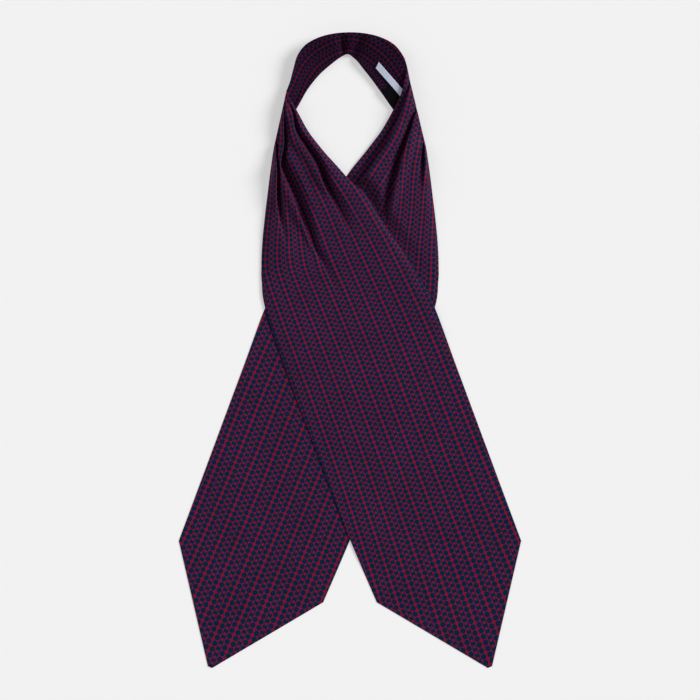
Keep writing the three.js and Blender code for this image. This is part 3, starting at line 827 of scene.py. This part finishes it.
def makeLabel(name, label):
    turn = math.radians(label["heading"])
    lengthwise = np.array([math.cos(turn), math.sin(turn)])
    crosswise = np.array([-lengthwise[1], lengthwise[0]])
    down = np.linspace(0, 1, label["lines"][0])
    i, j = np.meshgrid(down, np.linspace(-0.5, 0.5, label["lines"][1]), indexing="ij")
    run = i * label["length"] + j * label["skew"] * (1 - i)
    x = label["x"] + lengthwise[0] * run + crosswise[0] * j * label["width"]
    y = label["y"] + lengthwise[1] * run + crosswise[1] * j * label["width"]
    base = bandPoint(*underPoint(x, y)) + np.array([0, 0, neckband["wall"] / 2 + silkWall["seam"]])
    face = base + np.array([0, 0, labelWall["thickness"]])
    points = np.concatenate([face, base[:, ::-1]], axis=1)
    printMap = foldedMap(j * label["width"], i * label["length"])
    layout = bakeLayout(j + 0.5, down * label["length"], points.shape[1], labelWall["bakeCuts"],
                        labelWall["bakeFace"])
    return wallMesh(name, points, printMap, layout, True)


cravat = {
    "over": makeStrip("over_blade_silk", overBlade),
    "under": makeStrip("under_blade_silk", underBlade),
    "band": makeNeckband(),
    "maker": makeLabel("maker_label_weave", makerLabel),
    "care": makeLabel("care_label_weave", careLabel),
}
print("cloth laid")


# Node helpers
def addNode(tree, kind, settings=(), inputs=()):
    node = tree.nodes.new(kind)
    for key, value in dict(settings).items():
        setattr(node, key, value)
    for key, value in dict(inputs).items():
        if isinstance(value, bpy.types.NodeSocket):
            tree.links.new(value, node.inputs[key])
        else:
            node.inputs[key].default_value = value
    return node


def sumNode(tree, operation, *values):
    inputs = dict(enumerate(values))
    return addNode(tree, "ShaderNodeMath", {"operation": operation}, inputs).outputs[0]


# 1 within a size, 0 outside it, with a soft edge
def softInside(tree, distance, size, soft):
    low = sumNode(tree, "SUBTRACT", size, soft)
    high = sumNode(tree, "ADD", size, soft)
    inputs = {"Value": distance, "From Min": low, "From Max": high, "To Min": 1.0, "To Max": 0.0}
    return addNode(tree, "ShaderNodeMapRange", {"interpolation_type": "SMOOTHSTEP"}, inputs).outputs[0]


def newGroup(name, inputs, outputs):
    tree = bpy.data.node_groups.new(name, "ShaderNodeTree")
    for label, kind, value in inputs:
        socket = tree.interface.new_socket(label, in_out="INPUT", socket_type=kind)
        if value is not None:
            socket.default_value = value
    for label, kind in outputs:
        tree.interface.new_socket(label, in_out="OUTPUT", socket_type=kind)
    return tree, tree.nodes.new("NodeGroupInput"), tree.nodes.new("NodeGroupOutput")


# small repeat of round dots: two columns of big dots, and a navy chain with small dots between them
dotPrint = {
    "bigDot": 0.165, "chainPlace": 0.3125, "chainHalf": 0.138, "chainSwell": -0.012,
    "smallDot": 0.073, "pin": 0.03, "soft": 0.012,
}


def dotPrintGroup():
    tree, given, result = newGroup(
        "dot print",
        [
            ("Cloth", "NodeSocketVector", None),
            ("Big Dot", "NodeSocketFloat", dotPrint["bigDot"]),
            ("Small Dot", "NodeSocketFloat", dotPrint["smallDot"]),
            ("Soft", "NodeSocketFloat", dotPrint["soft"]),
        ],
        [("Navy", "NodeSocketFloat"), ("Pin", "NodeSocketFloat")],
    )
    parts = addNode(tree, "ShaderNodeSeparateXYZ", (), {"Vector": given.outputs["Cloth"]})
    u = parts.outputs["X"]
    v = parts.outputs["Y"]
    soft = given.outputs["Soft"]

    # distance to the nearest repeat of a place, with whole repeats added to keep it above zero
    def toNearest(value, place):
        shifted = sumNode(tree, "FRACT", sumNode(tree, "ADD", value, 4.5 - place))
        return sumNode(tree, "ABSOLUTE", sumNode(tree, "SUBTRACT", shifted, 0.5))

    offRow = sumNode(tree, "DIVIDE", toNearest(v, 0.0), printScale["rowsForOne"])

    def fromDot(place):
        offset = addNode(tree, "ShaderNodeCombineXYZ", (), {"X": toNearest(u, place), "Y": offRow})
        return addNode(tree, "ShaderNodeVectorMath", {"operation": "LENGTH"},
                       {0: offset.outputs[0]}).outputs["Value"]

    first = fromDot(0.0)
    second = fromDot(2 * dotPrint["chainPlace"])
    nearest = sumNode(tree, "MINIMUM", first, second)
    dots = softInside(tree, nearest, given.outputs["Big Dot"], soft)
    wave = sumNode(tree, "COSINE", sumNode(tree, "MULTIPLY", v, 2 * math.pi))
    chainHalf = sumNode(tree, "MULTIPLY_ADD", wave, dotPrint["chainSwell"], dotPrint["chainHalf"])
    chain = softInside(tree, toNearest(u, dotPrint["chainPlace"]), chainHalf, soft)
    small = softInside(tree, fromDot(dotPrint["chainPlace"]), given.outputs["Small Dot"], soft)
    chain = sumNode(tree, "MULTIPLY", chain, sumNode(tree, "SUBTRACT", 1.0, small))
    tree.links.new(sumNode(tree, "MAXIMUM", dots, chain), result.inputs["Navy"])
    tree.links.new(softInside(tree, nearest, dotPrint["pin"], soft), result.inputs["Pin"])
    return tree


# fine diagonal twill of the silk, and slow unevenness of its threads
twill = {
    "linesForOne": 26.0, "slope": 0.34, "depth": 0.25,
    "threads": {"Scale": 900.0, "Detail": 2.0}, "slow": {"Scale": 28.0, "Detail": 3.0},
}


def twillGroup():
    tree, given, result = newGroup(
        "silk twill",
        [("Cloth", "NodeSocketVector", None), ("Place", "NodeSocketVector", None)],
        [("Height", "NodeSocketFloat"), ("Uneven", "NodeSocketFloat")],
    )
    parts = addNode(tree, "ShaderNodeSeparateXYZ", (), {"Vector": given.outputs["Cloth"]})
    slant = sumNode(tree, "MULTIPLY_ADD", parts.outputs["Y"], twill["slope"], parts.outputs["X"])
    wave = sumNode(tree, "SINE", sumNode(tree, "MULTIPLY", slant, twill["linesForOne"] * 2 * math.pi))
    place = given.outputs["Place"]
    threads = addNode(tree, "ShaderNodeTexNoise", (), {"Vector": place, **twill["threads"]})
    height = sumNode(tree, "MULTIPLY_ADD", wave, twill["depth"], threads.outputs["Fac"])
    tree.links.new(height, result.inputs["Height"])
    slow = addNode(tree, "ShaderNodeTexNoise", (), {"Vector": place, **twill["slow"]})
    tree.links.new(slow.outputs["Fac"], result.inputs["Uneven"])
    return tree


dotPrintTree = dotPrintGroup()
twillTree = twillGroup()


def newMaterial(name):
    material = bpy.data.materials.new(name)
    material.use_nodes = True
    tree = material.node_tree
    shader = tree.nodes["Principled BSDF"]
    return material, tree, shader


# printed silk, with the print's own map on the cloth
silkFront = {
    "crimson": (0.195, 0.0062, 0.0212, 1), "navy": (0.0024, 0.0145, 0.0465, 1), "pin": (0.02, 0.008, 0.05, 1),
    "roughness": 0.5, "sheen": 0.02,
}
# neckband: the same print in darker colours, partly for its inside face and mostly painted shade of the
# curled band
silkInsidePaintedShade = {
    "crimson": (0.09, 0.0028, 0.011, 1), "navy": (0.0008, 0.006, 0.02, 1), "pin": (0.01, 0.004, 0.024, 1),
    "roughness": 0.6, "sheen": 0.01,
}
silkFinish = {
    "specular": 0.015, "sheenTint": (0.65, 0.7, 1.0, 1), "sheenRoughness": 0.4,
    "bump": 0.12, "bumpDepth": 0.0002,
    "roughnessSpread": 0.05, "threads": {"From Min": 0.2, "From Max": 0.8},
    "uneven": {"From Min": 0.3, "From Max": 0.7, "To Min": 0.93, "To Max": 1.07},
}


def silkMaterial(name, silk):
    material, tree, shader = newMaterial(name)
    cloth = addNode(tree, "ShaderNodeUVMap", {"uv_map": "print"}).outputs[0]
    place = addNode(tree, "ShaderNodeTexCoord").outputs["Object"]
    dots = addNode(tree, "ShaderNodeGroup", {"node_tree": dotPrintTree}, {"Cloth": cloth})
    weave = addNode(tree, "ShaderNodeGroup", {"node_tree": twillTree}, {"Cloth": cloth, "Place": place})
    ground = addNode(tree, "ShaderNodeMix", {"data_type": "RGBA"}, {
        "Factor": dots.outputs["Navy"], 6: silk["crimson"], 7: silk["navy"]})
    pinned = addNode(tree, "ShaderNodeMix", {"data_type": "RGBA"}, {
        "Factor": dots.outputs["Pin"], 6: ground.outputs[2], 7: silk["pin"]})
    shade = addNode(tree, "ShaderNodeMapRange", (), {
        "Value": weave.outputs["Uneven"], **silkFinish["uneven"]})
    tinted = addNode(tree, "ShaderNodeMix", {"data_type": "RGBA", "blend_type": "MULTIPLY"}, {
        "Factor": 1.0, 6: pinned.outputs[2], 7: shade.outputs[0]})
    tree.links.new(tinted.outputs[2], shader.inputs["Base Color"])
    spread = silkFinish["roughnessSpread"]
    gloss = addNode(tree, "ShaderNodeMapRange", (), {
        "Value": weave.outputs["Height"], **silkFinish["threads"],
        "To Min": silk["roughness"] - spread, "To Max": silk["roughness"] + spread})
    tree.links.new(gloss.outputs[0], shader.inputs["Roughness"])
    bump = addNode(tree, "ShaderNodeBump", (), {
        "Strength": silkFinish["bump"], "Distance": silkFinish["bumpDepth"],
        "Height": weave.outputs["Height"]})
    tree.links.new(bump.outputs[0], shader.inputs["Normal"])
    shader.inputs["Specular IOR Level"].default_value = silkFinish["specular"]
    shader.inputs["Sheen Weight"].default_value = silk["sheen"]
    shader.inputs["Sheen Roughness"].default_value = silkFinish["sheenRoughness"]
    shader.inputs["Sheen Tint"].default_value = silkFinish["sheenTint"]
    return material


# woven labels: ribs across the ribbon and threads along it, on a map in millimetres
paleWeave = {"colour": (0.66, 0.73, 0.87, 1), "rib": (0.5, 0.56, 0.7, 1), "roughness": 0.7}
blackWeave = {"colour": (0.002, 0.002, 0.0025, 1), "rib": (0.005, 0.005, 0.006, 1), "roughness": 0.8}
ribbon = {"ribs": 2.4, "threads": 3.6, "bump": 0.3, "bumpDepth": 0.0002, "specular": 0.03}


def labelMaterial(name, weave):
    material, tree, shader = newMaterial(name)
    cloth = addNode(tree, "ShaderNodeUVMap", {"uv_map": "print"}).outputs[0]
    parts = addNode(tree, "ShaderNodeSeparateXYZ", (), {"Vector": cloth})

    def waves(axis, count):
        return sumNode(tree, "SINE", sumNode(tree, "MULTIPLY", parts.outputs[axis], count * 2 * math.pi))

    woven = sumNode(tree, "MULTIPLY", waves("Y", ribbon["ribs"]), waves("X", ribbon["threads"]))
    ribs = sumNode(tree, "MULTIPLY_ADD", woven, 0.5, 0.5)
    colour = addNode(tree, "ShaderNodeMix", {"data_type": "RGBA"}, {
        "Factor": ribs, 6: weave["colour"], 7: weave["rib"]})
    tree.links.new(colour.outputs[2], shader.inputs["Base Color"])
    bump = addNode(tree, "ShaderNodeBump", (), {
        "Strength": ribbon["bump"], "Distance": ribbon["bumpDepth"], "Height": ribs})
    tree.links.new(bump.outputs[0], shader.inputs["Normal"])
    shader.inputs["Roughness"].default_value = weave["roughness"]
    shader.inputs["Specular IOR Level"].default_value = ribbon["specular"]
    return material


finishes = {
    "over": silkMaterial("printed silk", silkFront),
    # the neckband's darker print colours are mostly painted shade, partly its inside face
    "band": silkMaterial("silk inside painted shade", silkInsidePaintedShade),
    "maker": labelMaterial("pale woven ribbon", paleWeave),
    "care": labelMaterial("black woven ribbon", blackWeave),
}
finishes["under"] = finishes["over"]
nodesOf = {
    "over": ("over_pleats", "over_blade"),
    "under": ("under_pleats", "under_blade"),
    "band": ("neckband",),
    "maker": ("maker_label",),
    "care": ("care_label",),
}
for key, piece in cravat.items():
    piece.data.materials.append(finishes[key])
    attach(piece, "root")
    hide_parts(*nodesOf[key])
print("pieces dressed")


# Studio: camera straight above, lit table, soft light from the right and a weaker one from the left
studio = {
    "lens": 200, "sensor": 36, "frameWidth": 0.63,
    "floor": (0.45, 0.45, 0.45, 1), "floorGlow": 0.435, "floorSize": 6.0,
    "world": 0.24,
    "key": {"energy": 3.7, "elevation": 32, "azimuth": 18, "softness": 28},
    "fill": {"energy": 0.8, "elevation": 32, "azimuth": 165, "softness": 45},
}


def addSun(name, light):
    data = bpy.data.lights.new(name, "SUN")
    data.energy = light["energy"]
    data.angle = math.radians(light["softness"])
    lamp = bpy.data.objects.new(name, data)
    lamp.rotation_euler = (0, math.radians(90 - light["elevation"]), math.radians(light["azimuth"]))
    bpy.context.scene.collection.objects.link(lamp)


def makeStudio():
    scene = bpy.context.scene
    cameraData = bpy.data.cameras.new("camera")
    cameraData.lens = studio["lens"]
    cameraData.sensor_width = studio["sensor"]
    camera = bpy.data.objects.new("camera", cameraData)
    camera.location = (0, 0, studio["frameWidth"] * studio["lens"] / studio["sensor"])
    scene.collection.objects.link(camera)
    scene.camera = camera
    bpy.ops.object.select_all(action="DESELECT")
    bpy.ops.mesh.primitive_plane_add(size=studio["floorSize"], location=(0, 0, 0))
    floor = bpy.context.object
    floor.name = "floor"
    material, _, shader = newMaterial("pale floor")
    shader.inputs["Base Color"].default_value = studio["floor"]
    shader.inputs["Roughness"].default_value = 1.0
    shader.inputs["Specular IOR Level"].default_value = 0.0
    shader.inputs["Emission Color"].default_value = (1, 1, 1, 1)
    shader.inputs["Emission Strength"].default_value = studio["floorGlow"]
    floor.data.materials.append(material)
    world = bpy.data.worlds.new("studio")
    world.use_nodes = True
    background = world.node_tree.nodes["Background"]
    background.inputs["Color"].default_value = (1, 1, 1, 1)
    background.inputs["Strength"].default_value = studio["world"]
    scene.world = world
    addSun("key light", studio["key"])
    addSun("fill light", studio["fill"])
    scene.view_settings.view_transform = "Standard"


makeStudio()
print("studio set")
